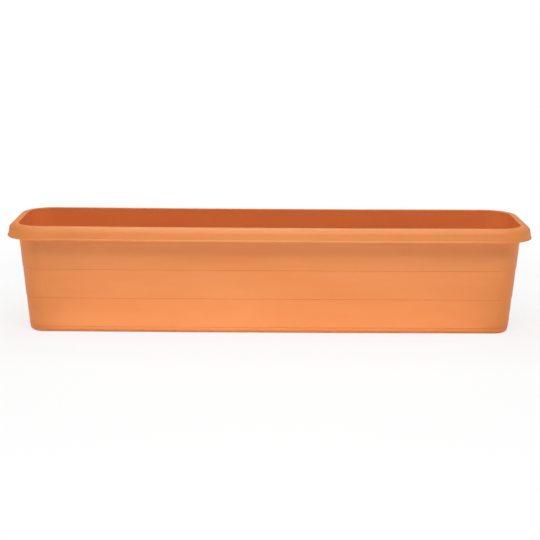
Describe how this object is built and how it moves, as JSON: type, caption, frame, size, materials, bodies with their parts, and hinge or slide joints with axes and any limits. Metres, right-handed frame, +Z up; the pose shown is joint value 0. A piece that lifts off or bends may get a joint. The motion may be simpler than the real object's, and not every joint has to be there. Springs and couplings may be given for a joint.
{
  "type": "window box planter",
  "caption": "Long rectangular window box planter with drafted walls, a hollow down-turned rim and pull-out drain plugs.",
  "frame": {"origin": "middle of the footprint, on the surface that the box stands on", "axes": "+X along the length, +Y from the front to the back, +Z up"},
  "size_m": [0.8, 0.2, 0.168],
  "materials": {
    "trough_pp": "satin, moulded terracotta polypropylene",
    "plug_pe": "satin, moulded terracotta polyethylene"
  },
  "bodies": {
    "trough": {"trough": "trough_pp"},
    "drain_plug_1": {"drain_plug_1": "plug_pe"},
    "drain_plug_2": {"drain_plug_2": "plug_pe"},
    "drain_plug_3": {"drain_plug_3": "plug_pe"},
    "drain_plug_4": {"drain_plug_4": "plug_pe"},
    "drain_plug_5": {"drain_plug_5": "plug_pe"},
    "drain_plug_6": {"drain_plug_6": "plug_pe"},
    "drain_plug_7": {"drain_plug_7": "plug_pe"},
    "drain_plug_8": {"drain_plug_8": "plug_pe"}
  },
  "joints": [
    {"name": "drain_plug_1_pull", "type": "slide", "parent": "trough", "child": "drain_plug_1", "axis": [0, 0, 1], "range_m": [0, 0.17]},
    {"name": "drain_plug_2_pull", "type": "slide", "parent": "trough", "child": "drain_plug_2", "axis": [0, 0, 1], "range_m": [0, 0.17]},
    {"name": "drain_plug_3_pull", "type": "slide", "parent": "trough", "child": "drain_plug_3", "axis": [0, 0, 1], "range_m": [0, 0.17]},
    {"name": "drain_plug_4_pull", "type": "slide", "parent": "trough", "child": "drain_plug_4", "axis": [0, 0, 1], "range_m": [0, 0.17]},
    {"name": "drain_plug_5_pull", "type": "slide", "parent": "trough", "child": "drain_plug_5", "axis": [0, 0, 1], "range_m": [0, 0.17]},
    {"name": "drain_plug_6_pull", "type": "slide", "parent": "trough", "child": "drain_plug_6", "axis": [0, 0, 1], "range_m": [0, 0.17]},
    {"name": "drain_plug_7_pull", "type": "slide", "parent": "trough", "child": "drain_plug_7", "axis": [0, 0, 1], "range_m": [0, 0.17]},
    {"name": "drain_plug_8_pull", "type": "slide", "parent": "trough", "child": "drain_plug_8", "axis": [0, 0, 1], "range_m": [0, 0.17]}
  ]
}
